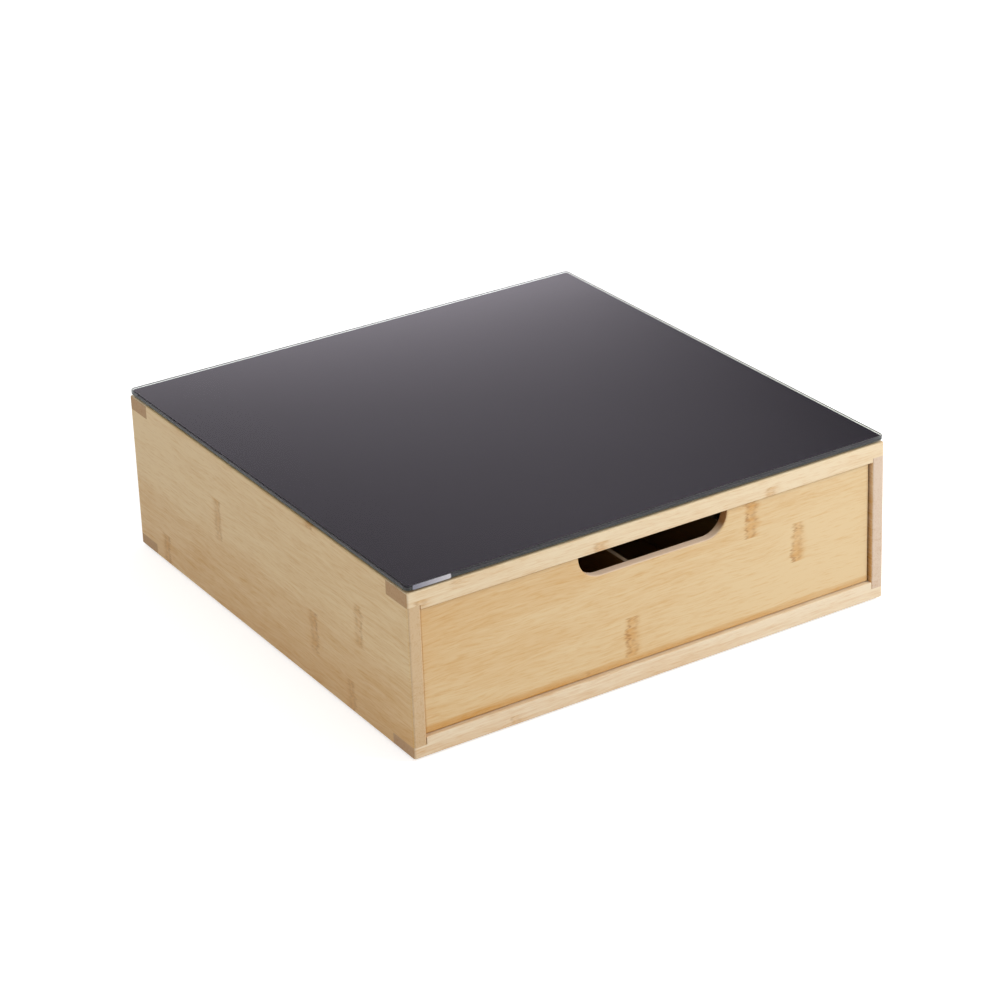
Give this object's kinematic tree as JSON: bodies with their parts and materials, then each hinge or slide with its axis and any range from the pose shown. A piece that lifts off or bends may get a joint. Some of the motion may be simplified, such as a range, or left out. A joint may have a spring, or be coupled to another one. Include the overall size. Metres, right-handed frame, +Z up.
{
  "type": "coffee capsule drawer",
  "caption": "Low bamboo case with lapped corners, a black glass plate on top and a drawer with a finger notch and capsule lanes.",
  "frame": {"origin": "on the ground under the middle of the case, at the level of the undersides of the feet", "axes": "+X to the right along the front, +Y from the front to the back, +Z up; the drawer pulls out along -Y"},
  "size_m": [0.31, 0.315, 0.102],
  "materials": {
    "case_bamboo": "pale bamboo, sanded and clear lacquered, satin",
    "drawer_bamboo": "warm bamboo, sanded and clear lacquered, satin",
    "thin_bamboo_board": "thin bamboo board, satin",
    "bamboo_pegs": "raw bamboo",
    "black_backed_glass": "clear float glass with polished edges, black lacquer on the underside",
    "clear_silicone": "clear soft silicone",
    "foot_rubber": "black soft rubber, matt"
  },
  "bodies": {
    "case": {"left_side_panel": "case_bamboo", "right_side_panel": "case_bamboo", "top_front_rail": "case_bamboo", "bottom_front_rail": "case_bamboo", "top_rear_rail": "case_bamboo", "bottom_rear_rail": "case_bamboo", "back_panel": "thin_bamboo_board", "bottom_panel": "thin_bamboo_board", "glass_top": "black_backed_glass", "upper_corner_pegs": "bamboo_pegs", "lower_corner_pegs": "bamboo_pegs", "front_left_bumper": "clear_silicone", "front_right_bumper": "clear_silicone", "rear_left_bumper": "clear_silicone", "rear_right_bumper": "clear_silicone", "front_left_foot": "foot_rubber", "front_right_foot": "foot_rubber", "rear_left_foot": "foot_rubber", "rear_right_foot": "foot_rubber"},
    "drawer": {"drawer_front": "drawer_bamboo", "drawer_left_side": "drawer_bamboo", "drawer_right_side": "drawer_bamboo", "drawer_back": "drawer_bamboo", "drawer_bottom": "thin_bamboo_board", "drawer_front_pegs": "bamboo_pegs", "divider_1": "thin_bamboo_board", "divider_2": "thin_bamboo_board", "divider_3": "thin_bamboo_board"}
  },
  "joints": [
    {"name": "drawer_slide", "type": "slide", "parent": "case", "child": "drawer", "axis": [0, -1, 0], "range_m": [0, 0.23]}
  ]
}
